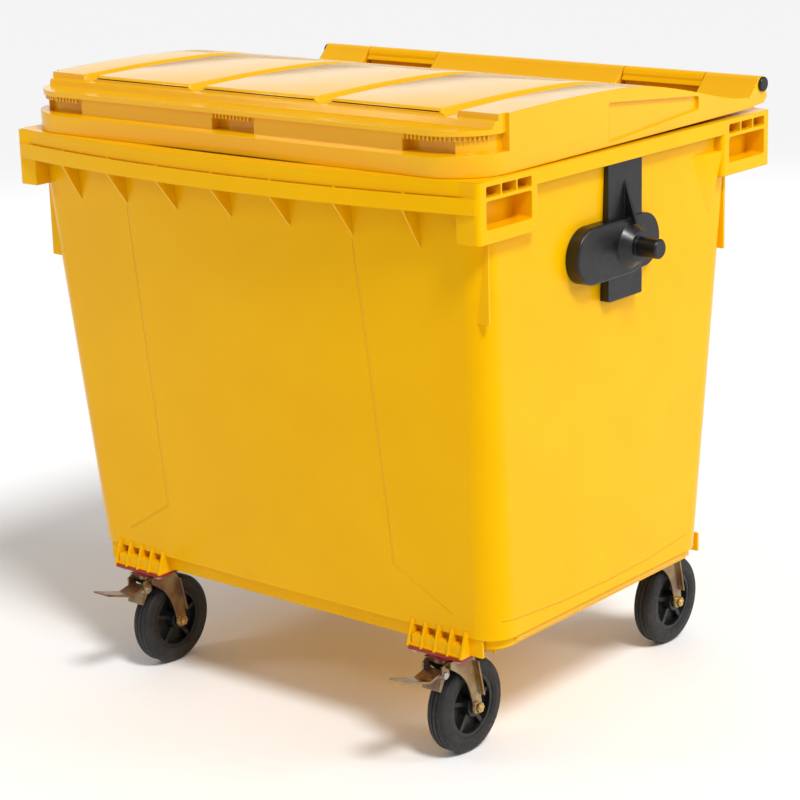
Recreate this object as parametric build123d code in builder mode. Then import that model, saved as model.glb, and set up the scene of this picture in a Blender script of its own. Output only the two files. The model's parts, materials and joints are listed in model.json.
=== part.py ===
from build123d import *
import os
from math import cos, degrees, radians, sin

# Four-wheeled 1100 litre waste container with a hinged flat lid.
# Millimetres, +Z up, +Y to the rear (hinge side), +X to the right.
# Origin on the floor, under the middle of the container.

# ---------------------------------------------------------------- tub
rim_half = 615.0            # half width over the rim
rim_front = -479.0          # front of the rim at its corners
rim_bow = 60.0              # how far the comb rim bows forward in the middle
rim_rear = 531.0
rim_top = 1212.0
rim_radius = 14.0
flange_bottom = 1152.0      # lower edge of the comb flange along the front
band_split = 1183.0         # step between the two bands of the flange
band_step = 8.0             # how far the lower band stands proud
rim_wall = 5.0

tub_top_half = 596.0
tub_top_front = -446.0
tub_top_rear = 425.0
tub_top_bow = 46.0
tub_top_radius = 50.0
tub_bottom_half = 560.0
tub_bottom_front = -371.0
tub_bottom_rear = 371.0
tub_bottom_bow = 5.0
tub_bottom_radius = 58.0
tub_bottom = 285.0          # height of the lower edge of the walls
tub_wall = 5.0

base_inset = 12.0           # the base tray lies inside the walls' lower edge
base_bottom = 258.0
base_radius = 48.0
skirt_bottom = 246.0        # strip below the front edge, between the casters
belly_half_length = 305.0
belly_bottom = 258.0
belly_top = 304.0
belly_radius = 16.0

# ribs below the flange, along the front wall
rib_count = 7
rib_pitch = 152.0
rib_thickness = 6.0
rib_tip = 1072.0

# square pockets at the four upper corners of the side walls
pocket_length = 186.0
pocket_bottom = 1096.0
pocket_depth = 44.0
pocket_border = 24.0
pocket_sill = 26.0
pocket_bar_top = 1182.0
pocket_bar = 7.0
pocket_cell_ribs = 2
pocket_cell_rib = 4.0
pocket_top_border = 5.0
pocket_back = 8.0

# upright fins below the pockets
fin_outer = 590.0
fin_thickness = 7.0
fin_bottom = 935.0
fin_front = -418.0
fin_rear = 392.0

# ---------------------------------------------------------------- trunnions
trunnion_tip = 688.0
trunnion_pin_radius = 20.0
trunnion_pin_length = 48.0
trunnion_pin_y = 4.0
trunnion_pin_z = 1014.0
trunnion_pin_chamfer = 3.0
trunnion_face = 606.0       # outer face of the upright plate
trunnion_plate_half = 58.0
trunnion_plate_y = 2.0
trunnion_plate_top = 1182.0
trunnion_plate_bottom = 908.0
capsule_radius = 57.0
capsule_front = -120.0      # centre of the capsule's front end
capsule_face = 620.0
lobe_radius = 54.0
lobe_rear = 64.0            # centre of the lower lobe's rear end
lobe_face = 609.0
boss_radius = 46.0          # the pin stands on a cone, this wide at its foot
boss_taper = 38.0
rib_plate_thickness = 7.0
rib_plate_tip = 1150.0
wall_gap = 0.3              # clearance between a moulding and what it seats on
trunnion_bolt_radius = 5.0
trunnion_bolt_grip = 16.0
bolt_hole_clearance = 0.4
trunnion_bolt_pitch_y = 70.0
trunnion_bolt_low = 935.0
trunnion_bolt_high = 1130.0

# ---------------------------------------------------------------- hinge and lid
hinge_y = 517.0
hinge_z = 1266.0
hinge_pin_radius = 8.0
hinge_pin_clearance = 0.06
barrel_radius = 17.0
bracket_inner = 262.0       # the body's hinge bracket lies between these
bracket_outer = 466.0
bracket_web_half = 9.0
bracket_hood = 23.0         # the bracket's sloping front runs this far ahead of the axis
bracket_slot_half = 62.0
bracket_slot_bottom = 1218.0
bracket_slot_top = 1240.0
hinge_side_gap = 3.0
hinge_pin_inner = 190.0
cap_radius = 15.5
cap_thickness = 6.0

lid_half = 602.0
lid_front = -480.0
lid_rear = 488.0
lid_wall = 4.5
lid_corner = 110.0          # plan radius of the front corners
lid_seat = 0.3              # the lid rests this far above the rim
lid_rear_gap = 8.0          # gap between the lid's skirt and the rim at the rear
lip_top = 1250.0
ledge_depth = 18.0
ledge_rise = 4.0
shelf_bottom = 1287.0
shelf_thickness = 10.0
shelf_overhang = 10.0
shelf_depth = 72.0
riser_height = 12.0
crown_front = 1311.0        # heights of the lid's top along its length
crown_peak = 1313.0
pillow_rise = 12.0
channel_width = 34.0
channel_inner_x = 170.0
channel_outer_x = 480.0
grip_half = 56.0
grip_end_x = 484.0
grip_depth = 24.0
tooth_count = 11            # teeth of the middle grip
tooth_count_end = 7         # straight teeth of an end grip, before those that turn the corner
tooth_count_corner = 13
tooth_pitch = 9.5
tooth_width = 4.0
tooth_drop = 9.0
window_front = -48.0
window_rear = 272.0
window_bottom_front = 1222.0
window_bottom_rear = 1245.0
window_top_front = 1300.0
window_top_rear = 1272.0
window_depth = 7.0

# ---------------------------------------------------------------- casters
caster_x = 418.0
caster_front = -345.0
caster_rear = 393.0
trail = 46.0
wheel_radius = 100.0
wheel_width = 48.0
plate_top = 240.0
plate_length = 140.0
plate_width = 100.0
plate_thickness = 6.0
plate_bolt_x = 52.5
plate_bolt_y = 36.0
mount_bolt_radius = 5.0
race_radius = 40.0
race_bottom = 229.0
seal_radius = 42.0
seal_bottom = 223.0
swivel_gap = 0.4
crown_top = 222.6
crown_bottom = 214.0
crown_radius = 40.0
kingpin_radius = 9.0
kingpin_head_radius = 13.0
kingpin_head = 4.5
king_clearance = 0.08
fork_half = 34.0            # half width over the fork's legs
fork_leg = 4.0
leg_end_radius = 15.0
leg_top_front = -38.0
leg_top_rear = 30.0
leg_flange = 9.0
axle_radius = 6.0
sleeve_radius = 10.0
sleeve_clearance = 0.08
side_gap = 0.5
axle_head = 7.5
axle_head_flats = 19.0
tyre_bore_radius = 68.0
hub_rim_wall = 9.0
hub_radius = 22.0
hub_half = 27.0
hub_web = 8.0
spoke_count = 5
ridge_count = 4
ridge_depth = 2.0

# ---------------------------------------------------------------- brakes
brake_y = -46.0
brake_z = 196.0
brake_pin_radius = 4.0
brake_pin_clearance = 0.06
brake_barrel_radius = 9.0
brake_half = 22.0
ear_thickness = 4.0
pedal_tip_y = -161.0
pedal_tip_z = 219.0
pedal_thickness = 4.0
shoe_thickness = 3.0
shoe_half = 18.0

# ---------------------------------------------------------------- drain
drain_y = 0.0
drain_radius = 24.0
drain_flange_radius = 34.0
drain_flange = 5.0
drain_seal = 2.0

os.makedirs("parts", exist_ok=True)


def save(part, name):
    """Label a finished piece and write it to the parts folder."""
    part.label = name
    export_step(part, f"parts/{name}.step")


def bowed_outline(half, front, rear, bow, radius):
    """A rounded rectangle whose front edge bows forward."""
    with BuildSketch() as outline:
        with BuildLine():
            Line((-half, front), (-half, rear))
            Line((-half, rear), (half, rear))
            Line((half, rear), (half, front))
            ThreePointArc((half, front), (0, front - bow), (-half, front))
        make_face()
        fillet(outline.vertices(), radius)
    return outline.sketch


def tub_block(inset, top):
    """The tub's solid envelope, moved inwards by inset, from its lower edge up to top."""
    low_outline = bowed_outline(tub_bottom_half - inset, tub_bottom_front + inset, tub_bottom_rear - inset,
                                tub_bottom_bow, tub_bottom_radius - inset)
    high_outline = bowed_outline(tub_top_half - inset, tub_top_front + inset, tub_top_rear - inset,
                                 tub_top_bow, tub_top_radius - inset)
    with BuildPart() as block:
        with BuildSketch(Plane.XY.offset(tub_bottom)):
            add(low_outline)
        with BuildSketch(Plane.XY.offset(band_split)):
            add(high_outline)
        loft(ruled=True)
        with BuildSketch(Plane.XY.offset(band_split)):
            add(high_outline)
        extrude(amount=top - band_split)
    return block.part


def rim_slab(inset, top, step):
    """The rim's solid envelope from the flange's lower edge to top; step is the lower band's."""
    upper = bowed_outline(rim_half - inset, rim_front + step + inset, rim_rear - inset, rim_bow, rim_radius)
    lower = bowed_outline(rim_half - inset, rim_front + inset, rim_rear - inset, rim_bow, rim_radius)
    with BuildPart() as slab:
        with BuildSketch(Plane.XY.offset(band_split)):
            add(upper)
        extrude(amount=top - band_split)
        with BuildSketch(Plane.XY.offset(flange_bottom)):
            add(lower)
        extrude(amount=band_split - flange_bottom)
    return slab.part


tub_outside = tub_block(0, rim_top)
tub_inside = tub_block(tub_wall, rim_top + 1)
rim_outside = rim_slab(0, rim_top, band_step)
rim_hollow = rim_slab(rim_wall, rim_top - rim_wall, band_step)

# The corner pockets: blocks below the rim, each open to the side.
pocket_ends = [(rim_front, rim_front + pocket_length), (rim_rear - pocket_length, rim_rear)]
with BuildPart() as pocket_blocks:
    for y0, y1 in pocket_ends:
        with BuildSketch(Plane.XY.offset(pocket_bottom)):
            with Locations((rim_half - (pocket_depth + pocket_back) / 2, (y0 + y1) / 2)):
                Rectangle(pocket_depth + pocket_back, y1 - y0)
            fillet(vertices().group_by(Axis.X)[-1], 10)
        extrude(amount=rim_top - 1 - pocket_bottom)
    mirror(about=Plane.YZ)

with BuildPart() as pocket_cells:
    for y0, y1 in pocket_ends:
        clear = y1 - y0 - 2 * pocket_border
        with BuildSketch(Plane.YZ.offset(rim_half - pocket_depth)):
            low, high = pocket_bottom + pocket_sill, pocket_bar_top - pocket_bar
            with Locations(((y0 + y1) / 2, (low + high) / 2)):
                RectangleRounded(clear, high - low, 5)
        extrude(amount=pocket_depth + 5)
        cell = (clear - pocket_cell_ribs * pocket_cell_rib) / (pocket_cell_ribs + 1)
        cell_top = rim_top - rim_wall - pocket_top_border
        with BuildSketch(Plane.YZ.offset(rim_half - pocket_depth)):
            with Locations(((y0 + y1) / 2, (pocket_bar_top + cell_top) / 2)):
                with GridLocations(cell + pocket_cell_rib, 1, pocket_cell_ribs + 1, 1):
                    RectangleRounded(cell, cell_top - pocket_bar_top, 3)
        extrude(amount=pocket_depth + 5)
    mirror(about=Plane.YZ)

# The side bands stop at band_split; the comb flange is only along the front and the rear.
with BuildPart() as side_relief:
    with Locations((0, (rim_front + rim_rear) / 2, (flange_bottom + band_split) / 2)):
        Box(2 * rim_half + 10, rim_rear - rim_front - 2 * rim_wall - 6, band_split - flange_bottom)

# Triangular ribs between the front wall and the flange.
with BuildPart() as flange_ribs:
    for i in range(rib_count):
        x = (i - (rib_count - 1) / 2) * rib_pitch
        share = (x / rim_half) ** 2
        flange_y = rim_front - rim_bow * (1 - share) + rim_wall - 1
        with BuildSketch(Plane.YZ.offset(x - rib_thickness / 2)):
            with BuildLine():
                Polyline((flange_y + band_step, rim_top - 2), (flange_y + band_step, band_split),
                         (flange_y, band_split), (flange_y, flange_bottom),
                         (tub_top_front + 30, rib_tip - 60), (tub_top_front + 30, rim_top - 2), close=True)
            make_face()
        extrude(amount=rib_thickness)

# Upright fins that stiffen the corners below the pockets.
with BuildPart() as corner_fins:
    for y in (fin_front, fin_rear):
        with Locations((fin_outer - 20, y, (fin_bottom + pocket_bottom + 6) / 2)):
            Box(40, fin_thickness, pocket_bottom + 6 - fin_bottom)
    mirror(about=Plane.YZ)

# Base tray below the walls, and the rounded belly between the casters.
with BuildPart() as base_tray:
    with BuildSketch(Plane.XY.offset(base_bottom)):
        Rectangle(2 * (tub_bottom_half - base_inset), tub_bottom_rear - tub_bottom_front - 2 * base_inset)
        fillet(vertices(), base_radius)
    extrude(amount=tub_bottom - base_bottom + tub_wall)

with BuildPart() as belly:
    with BuildSketch(Plane.XZ.offset(-belly_half_length)):
        with Locations((0, (belly_bottom + belly_top) / 2)):
            Rectangle(2 * (tub_bottom_half - 6), belly_top - belly_bottom)
    extrude(amount=2 * belly_half_length)
    fillet(belly.edges().filter_by(Axis.Y).group_by(Axis.Z)[0], belly_radius)
    fillet(belly.edges().filter_by(Axis.Z), 10)

with BuildPart() as front_skirt:
    skirt_y = tub_bottom_front + base_inset
    with Locations((0, skirt_y + tub_wall / 2, (skirt_bottom + base_bottom) / 2 + 2)):
        Box(2 * (caster_x - plate_length / 2), tub_wall, base_bottom - skirt_bottom + 4)
    fillet(front_skirt.edges().filter_by(Axis.Y).group_by(Axis.Z)[0], 5)

# Ribbed blocks that carry the casters.
with BuildPart() as caster_blocks:
    for y in (caster_front, caster_rear):
        with Locations((caster_x, y, (plate_top + base_bottom) / 2 + 3)):
            Box(plate_length - 16, plate_width - 16, base_bottom - plate_top + 6)
        with Locations((caster_x, y, plate_top + 2.5)):
            Box(plate_length, plate_width - 8, 5)
        side = 1 if y > 0 else -1
        with BuildSketch(Plane.YZ.offset(caster_x - plate_length / 2)):
            with BuildLine():
                Polyline((y, plate_top), (y + side * plate_width / 2, plate_top),
                         (side * (tub_bottom_rear + 6), tub_bottom + 8),
                         (side * (tub_bottom_rear - 3), tub_bottom + 8), (side * (tub_bottom_rear - 60), tub_bottom - 4),
                         close=True)
            make_face()
        extrude(amount=6)
        for k in range(1, 5):
            with BuildSketch(Plane.YZ.offset(caster_x - plate_length / 2 + k * (plate_length - 6) / 4)):
                with BuildLine():
                    Polyline((y, plate_top), (y + side * plate_width / 2, plate_top),
                             (side * (tub_bottom_rear + 6), tub_bottom + 8),
                             (side * (tub_bottom_rear - 3), tub_bottom + 8),
                             (side * (tub_bottom_rear - 60), tub_bottom - 4), close=True)
                make_face()
            extrude(amount=6)
        with Locations((caster_x + plate_length / 2 + 12, y + side * 20, (plate_top + tub_bottom) / 2)):
            Box(40, 6, tub_bottom - plate_top - 4)
        with Locations((caster_x + plate_length / 2 + 12, y - side * 20, (plate_top + tub_bottom) / 2)):
            Box(40, 6, tub_bottom - plate_top - 4)
    mirror(about=Plane.YZ)

# Hinge brackets: barrels on webs that stand on the rear rim.
with BuildPart() as hinge_brackets:
    bracket_length = bracket_outer - bracket_inner
    with BuildSketch(Plane.YZ.offset(bracket_inner)):
        with Locations((hinge_y, hinge_z)):
            Circle(barrel_radius)
        with Locations((hinge_y, (hinge_z + rim_top - 2) / 2)):
            Rectangle(2 * bracket_web_half, hinge_z - rim_top + 2)
        with BuildLine():
            Polyline((hinge_y - bracket_hood, hinge_z - 12), (hinge_y - 6, hinge_z + barrel_radius - 1),
                     (hinge_y, hinge_z), close=True)
        make_face()
    extrude(amount=bracket_length)
    with BuildSketch(Plane.XZ.offset(-hinge_y - barrel_radius - 1)):
        with Locations(((bracket_inner + bracket_outer) / 2, (bracket_slot_bottom + bracket_slot_top) / 2)):
            RectangleRounded(2 * bracket_slot_half, bracket_slot_top - bracket_slot_bottom, 4)
    extrude(amount=2 * barrel_radius + 2, mode=Mode.SUBTRACT)
    with BuildSketch(Plane.YZ.offset(bracket_inner)):
        with Locations((hinge_y, hinge_z)):
            Circle(hinge_pin_radius)
    extrude(amount=bracket_length, mode=Mode.SUBTRACT)
    mirror(about=Plane.YZ)

# The trunnions are bolted to the side walls from inside the tub.
trunnion_bolt_places = [(trunnion_plate_y + sy * trunnion_bolt_pitch_y / 2, z)
                        for sy in (-1, 1) for z in (trunnion_bolt_low, trunnion_bolt_high)]


def wall_x(z):
    """Where the outer face of the side wall stands at height z."""
    share = (z - tub_bottom) / (band_split - tub_bottom)
    return tub_bottom_half + share * (tub_top_half - tub_bottom_half)


def bolt_head_face(z):
    """Where a trunnion bolt's head bears, just inside the wall at height z."""
    return wall_x(z) - tub_wall - 1.5


with BuildPart() as trunnion_holes:
    with BuildSketch(Plane.YZ.offset(tub_bottom_half - 20)):
        with Locations(*trunnion_bolt_places):
            Circle(trunnion_bolt_radius + bolt_hole_clearance)
    extrude(amount=80)

mount_bolt_places = [(sx * (caster_x + bx * plate_bolt_x), cy + by * plate_bolt_y)
                     for sx in (-1, 1) for cy in (caster_front, caster_rear)
                     for bx in (-1, 1) for by in (-1, 1)]
mount_bolt_depth = 12.0
with BuildPart() as mount_holes:
    with BuildSketch(Plane.XY.offset(plate_top - 1)):
        with Locations(*mount_bolt_places):
            Circle(mount_bolt_radius)
    extrude(amount=mount_bolt_depth + 1)

kingpin_recess = 8.0
with BuildPart() as king_recesses:
    with BuildSketch(Plane.XY.offset(plate_top - 1)):
        with Locations(*[(sx * caster_x, cy) for sx in (-1, 1) for cy in (caster_front, caster_rear)]):
            Circle(kingpin_head_radius + 2)
    extrude(amount=kingpin_recess + 1)

with BuildPart() as drain_hole:
    with Locations((0, drain_y, base_bottom)):
        Cylinder(drain_radius, 60)

with BuildPart() as tray_hollow:
    floor_top = base_bottom + tub_wall
    with BuildSketch(Plane.XY.offset(floor_top)):
        Rectangle(2 * (tub_bottom_half - base_inset - tub_wall),
                  tub_bottom_rear - tub_bottom_front - 2 * (base_inset + tub_wall))
        fillet(vertices(), base_radius - tub_wall)
    extrude(amount=tub_bottom - floor_top + 10)

# A sill closes the step between the walls' lower edge and the base tray.
with BuildPart() as wall_sill:
    with BuildSketch(Plane.XY.offset(tub_bottom - tub_wall)):
        add(bowed_outline(tub_bottom_half, tub_bottom_front, tub_bottom_rear, tub_bottom_bow, tub_bottom_radius))
    extrude(amount=tub_wall)

# The shell is cut on its middle plane and mirrored, so that both side walls are alike.
with BuildPart() as body_shell:
    add(rim_outside)
    add(side_relief.part, mode=Mode.SUBTRACT)
    add(rim_hollow, mode=Mode.SUBTRACT)
    add(tub_outside)
    add(wall_sill.part)
    add(flange_ribs.part)
    add(corner_fins.part)
    add(base_tray.part)
    add(belly.part)
    add(front_skirt.part)
    add(caster_blocks.part)
    add(tub_inside, mode=Mode.SUBTRACT)
    add(pocket_blocks.part)
    add(pocket_cells.part, mode=Mode.SUBTRACT)
    add(tray_hollow.part, mode=Mode.SUBTRACT)
    add(hinge_brackets.part)
    add(trunnion_holes.part, mode=Mode.SUBTRACT)
    add(mount_holes.part, mode=Mode.SUBTRACT)
    add(king_recesses.part, mode=Mode.SUBTRACT)
    add(drain_hole.part, mode=Mode.SUBTRACT)
    split(bisect_by=Plane.YZ)
    mirror(about=Plane.YZ)
save(body_shell.part, "body_shell")

# ---------------------------------------------------------------- trunnions
seat_wall = Pos(wall_gap, 0, 0) * tub_outside
with BuildPart() as trunnion:
    plate_depth = trunnion_face - tub_bottom_half
    with Locations((trunnion_face - plate_depth / 2, trunnion_plate_y,
                    (trunnion_plate_top + trunnion_plate_bottom) / 2)):
        Box(plate_depth, 2 * trunnion_plate_half, trunnion_plate_top - trunnion_plate_bottom)
    fillet(trunnion.edges().filter_by(Axis.X), 4)
    with BuildSketch(Plane.YZ.offset(tub_bottom_half)):
        with Locations(((capsule_front + lobe_rear) / 2, trunnion_pin_z)):
            SlotCenterToCenter(lobe_rear - capsule_front, 2 * lobe_radius)
    extrude(amount=lobe_face - tub_bottom_half)
    with BuildSketch(Plane.YZ.offset(tub_bottom_half)):
        with Locations(((capsule_front + trunnion_pin_y) / 2, trunnion_pin_z)):
            SlotCenterToCenter(trunnion_pin_y - capsule_front, 2 * capsule_radius)
    extrude(amount=capsule_face - tub_bottom_half)
    fillet(trunnion.faces().sort_by(Axis.X)[-1].edges(), 5)
    pin_foot = trunnion_tip - trunnion_pin_length
    with BuildSketch(Plane.YZ.offset(capsule_face)):
        with Locations((trunnion_pin_y, trunnion_pin_z)):
            Circle(boss_radius)
    extrude(amount=pin_foot - capsule_face, taper=boss_taper)
    with BuildSketch(Plane.XZ.offset(-trunnion_plate_y)):
        with BuildLine():
            Polyline((trunnion_face - 2, rib_plate_tip), (pin_foot - 6, trunnion_pin_z + capsule_radius - 12),
                     (trunnion_face - 2, trunnion_pin_z + capsule_radius - 12), close=True)
        make_face()
    extrude(amount=rib_plate_thickness / 2, both=True)
    with BuildSketch(Plane.YZ.offset(pin_foot)):
        with Locations((trunnion_pin_y, trunnion_pin_z)):
            Circle(trunnion_pin_radius)
    extrude(amount=trunnion_pin_length)
    chamfer(trunnion.faces().sort_by(Axis.X)[-1].edges(), trunnion_pin_chamfer)
    add(seat_wall, mode=Mode.SUBTRACT)
    for y, z in trunnion_bolt_places:
        with BuildSketch(Plane.YZ.offset(bolt_head_face(z))):
            with Locations((y, z)):
                Circle(trunnion_bolt_radius)
        extrude(amount=trunnion_bolt_grip + 1, mode=Mode.SUBTRACT)
save(trunnion.part, "trunnion_right")
save(mirror(trunnion.part, about=Plane.YZ), "trunnion_left")

with BuildPart() as trunnion_bolts:
    for y, z in trunnion_bolt_places:
        head_face = bolt_head_face(z)
        with BuildSketch(Plane.YZ.offset(head_face)):
            with Locations((y, z)):
                Circle(trunnion_bolt_radius)
        extrude(amount=trunnion_bolt_grip)
        with BuildSketch(Plane.YZ.offset(head_face)):
            with Locations((y, z)):
                RegularPolygon(9, 6)
        extrude(amount=-6.5)
        with BuildSketch(Plane.YZ.offset(head_face)):
            with Locations((y, z)):
                Circle(11)
                Circle(trunnion_bolt_radius, mode=Mode.SUBTRACT)
        extrude(amount=-1.2)
save(trunnion_bolts.part, "trunnion_bolts_right")
save(mirror(trunnion_bolts.part, about=Plane.YZ), "trunnion_bolts_left")

# ---------------------------------------------------------------- lid
lid_bottom = rim_top + lid_seat
wall_y = lid_front + ledge_depth
shelf_top = shelf_bottom + shelf_thickness
riser_y = wall_y - shelf_overhang + shelf_depth


def crown_line(rise):
    """Points of the lid's top from front to rear, raised by rise."""
    return [(riser_y + 14, crown_front + rise), (riser_y + 150, crown_peak + rise + 1),
            (-75, crown_peak + rise), (80, crown_peak - 9 + rise), (180, crown_peak - 26 + rise),
            (290, crown_peak - 50 + rise), (390, crown_peak - 68 + rise * 0.6), (462, crown_peak - 72 + rise * 0.3)]


def lid_section(rise):
    """The lid's outer side view, y across and z up."""
    crown = crown_line(rise)
    with BuildSketch() as section:
        with BuildLine():
            Polyline((lid_rear, lid_bottom + lid_rear_gap), (lid_front + 60, lid_bottom), (lid_front, lid_bottom),
                     (lid_front, lip_top), (wall_y, lip_top + ledge_rise), (wall_y, shelf_bottom),
                     (wall_y - shelf_overhang, shelf_bottom), (wall_y - shelf_overhang, shelf_top),
                     (riser_y, shelf_top), (riser_y + 4, shelf_top + riser_height), crown[0])
            Spline(*crown)
            Polyline(crown[-1], (lid_rear, crown[-1][1]), (lid_rear, lid_bottom + lid_rear_gap))
        make_face()
    return section.sketch


with BuildPart() as lid_envelope:
    with BuildSketch(Plane.YZ.offset(-lid_half)):
        add(lid_section(0))
    extrude(amount=2 * lid_half)

channel_edges = [channel_inner_x - channel_width / 2, channel_inner_x + channel_width / 2,
                 channel_outer_x - channel_width / 2, channel_outer_x + channel_width / 2]
pad_spans = [(-channel_edges[0], channel_edges[0]), (channel_edges[1], channel_edges[2]),
             (-channel_edges[2], -channel_edges[1]), (channel_edges[3], lid_half), (-lid_half, -channel_edges[3])]
with BuildPart() as lid_pads:
    for x0, x1 in pad_spans:
        with BuildSketch(Plane.YZ.offset(x0)):
            with BuildLine():
                upper = crown_line(pillow_rise)
                lower = crown_line(-3)
                Spline(*upper)
                Polyline(upper[-1], lower[-1])
                Spline(*lower)
                Polyline(lower[0], upper[0])
            make_face()
        extrude(amount=x1 - x0)



def lid_outline(inset):
    """The lid's plan with its round front corners, moved inwards by inset; it runs on past the rear."""
    with BuildSketch() as outline:
        with Locations((0, (lid_front + lid_rear + 100 + inset) / 2)):
            Rectangle(2 * (lid_half - inset), lid_rear + 100 - lid_front - inset)
        fillet(outline.vertices().group_by(Axis.Y)[0], lid_corner - inset)
    return outline.sketch


def lid_column(inset, bottom, top):
    """The plan moved inwards by inset, as an upright solid from bottom to top."""
    with BuildPart() as column:
        with BuildSketch(Plane.XY.offset(bottom)):
            add(lid_outline(inset))
        extrude(amount=top - bottom)
    return column.part


def front_ring(inset, bottom, top, reach):
    """What lies outside the plan moved inwards by inset, from the lid's front back to reach."""
    with BuildPart() as ring:
        with Locations((0, (lid_front - 10 + reach) / 2, (bottom + top) / 2)):
            Box(2 * lid_half + 20, reach - lid_front + 10, top - bottom)
        add(lid_column(inset, bottom, top), mode=Mode.SUBTRACT)
    return ring.part


lid_plan = lid_column(0, lid_bottom - 20, crown_peak + 40)
corner_end = lid_front + lid_corner + 4
under_shelf = front_ring(ledge_depth, lip_top + ledge_rise, shelf_bottom, corner_end)
beside_shelf = front_ring(ledge_depth - shelf_overhang, shelf_bottom, crown_peak + 40, corner_end)
wall_core = lid_column(ledge_depth + lid_wall / 2, lid_bottom, crown_peak)

inner_half = lid_half - lid_wall
inner_crown = crown_line(-lid_wall)
with BuildPart() as lid_cavity:
    with BuildSketch(Plane.YZ.offset(-inner_half)):
        with BuildLine():
            Polyline((lid_rear - lid_wall, lid_bottom - 15), (lid_front + lid_wall, lid_bottom - 15),
                     (lid_front + lid_wall, lip_top - lid_wall),
                     (wall_y + lid_wall, lip_top + ledge_rise - lid_wall),
                     (wall_y + lid_wall, shelf_top - lid_wall), (riser_y + lid_wall, shelf_top - lid_wall),
                     (riser_y + lid_wall + 4, shelf_top + riser_height - lid_wall), inner_crown[0])
            Spline(*inner_crown)
            Polyline(inner_crown[-1], (lid_rear - lid_wall, inner_crown[-1][1]),
                     (lid_rear - lid_wall, lid_bottom - 15))
        make_face()
    extrude(amount=2 * inner_half)

lid_inner_plan = lid_column(lid_wall, lid_bottom - 20, crown_peak + 40)
inner_ring = front_ring(ledge_depth + lid_wall, lip_top - lid_wall, crown_peak + 40, corner_end + lid_wall)

grip_centres = (-grip_end_x, 0.0, grip_end_x)
grip_height = shelf_bottom - lip_top - ledge_rise
with BuildPart() as grip_boxes:
    for x in grip_centres:
        with Locations((x, wall_y + (grip_depth + lid_wall) / 2, (lip_top + ledge_rise + shelf_bottom) / 2)):
            Box(2 * (grip_half + lid_wall), grip_depth + lid_wall, grip_height + 2 * lid_wall)

with BuildPart() as grip_cuts:
    for x in grip_centres:
        with Locations((x, wall_y + grip_depth / 2 - 2, (lip_top + ledge_rise + shelf_bottom) / 2)):
            Box(2 * grip_half, grip_depth + 4, grip_height)

# Teeth under the shelf's lip: straight over each grip, and round the corners past the end ones.
tooth_z = shelf_bottom - tooth_drop / 2 + 1
lip_radius = lid_corner - ledge_depth + shelf_overhang
straight_teeth = [(i - (tooth_count - 1) / 2) * tooth_pitch for i in range(tooth_count)]
for side in (-1, 1):
    first = grip_end_x - (tooth_count - 1) / 2 * tooth_pitch
    straight_teeth += [side * (first + i * tooth_pitch) for i in range(tooth_count_end)]
with BuildPart() as grip_teeth:
    for tooth_x in straight_teeth:
        with Locations((tooth_x, wall_y - shelf_overhang / 2 + 1, tooth_z)):
            Box(tooth_width, shelf_overhang - 2, tooth_drop + 2)
    for side in (-1, 1):
        for i in range(tooth_count_corner):
            turn = (i + 1) * degrees(tooth_pitch / lip_radius)
            reach = lip_radius - shelf_overhang / 2 - 3
            corner_x = side * (lid_half - lid_corner + reach * sin(radians(turn)))
            corner_y = lid_front + lid_corner - reach * cos(radians(turn))
            with Locations(Location((corner_x, corner_y, tooth_z), (0, 0, side * turn))):
                Box(tooth_width, shelf_overhang - 2, tooth_drop + 2)

# A recessed panel in each side of the lid, with its own back wall.
window_corners = [(window_front, window_bottom_front), (window_rear, window_bottom_rear),
                  (window_rear, window_top_rear), (window_front, window_top_front)]
with BuildPart() as window_backs:
    with BuildSketch(Plane.YZ.offset(lid_half - window_depth - lid_wall)):
        with BuildLine():
            Polyline(*window_corners, close=True)
        make_face()
        offset(amount=lid_wall, kind=Kind.INTERSECTION)
    extrude(amount=window_depth + lid_wall / 2)
    mirror(about=Plane.YZ)

with BuildPart() as side_windows:
    with BuildSketch(Plane.YZ.offset(lid_half - window_depth)):
        with BuildLine():
            Polyline(*window_corners, close=True)
        make_face()
        fillet(vertices(), 6)
    extrude(amount=window_depth + 5)
    mirror(about=Plane.YZ)

rail_spans = [(bracket_outer + hinge_side_gap, lid_half), (-lid_half, -bracket_outer - hinge_side_gap),
              (-bracket_inner + hinge_side_gap, bracket_inner - hinge_side_gap)]
with BuildPart() as hinge_rail:
    for x0, x1 in rail_spans:
        with BuildSketch(Plane.YZ.offset(x0)):
            with BuildLine():
                Polyline((lid_rear - 20, crown_peak - 72), (hinge_y - 6, hinge_z + barrel_radius - 1),
                         (hinge_y, hinge_z), (hinge_y + barrel_radius - 2, hinge_z - 6),
                         (hinge_y + 22, hinge_z - 28), (hinge_y + 8, hinge_z - 40),
                         (lid_rear - 20, lid_bottom + lid_rear_gap + 2), close=True)
            make_face()
            with Locations((hinge_y, hinge_z)):
                Circle(barrel_radius)
                Circle(hinge_pin_radius + hinge_pin_clearance, mode=Mode.SUBTRACT)
        extrude(amount=x1 - x0)

with BuildPart() as lid:
    add(lid_envelope.part)
    add(lid_pads.part)
    add(lid_plan, mode=Mode.INTERSECT)
    add(under_shelf, mode=Mode.SUBTRACT)
    add(beside_shelf, mode=Mode.SUBTRACT)
    add((lid_cavity.part & lid_inner_plan) - inner_ring, mode=Mode.SUBTRACT)
    add(grip_boxes.part & wall_core)
    add(grip_cuts.part, mode=Mode.SUBTRACT)
    add(grip_teeth.part)
    add(window_backs.part)
    add(hinge_rail.part)
    add(side_windows.part, mode=Mode.SUBTRACT)
save(lid.part, "lid")

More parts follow.
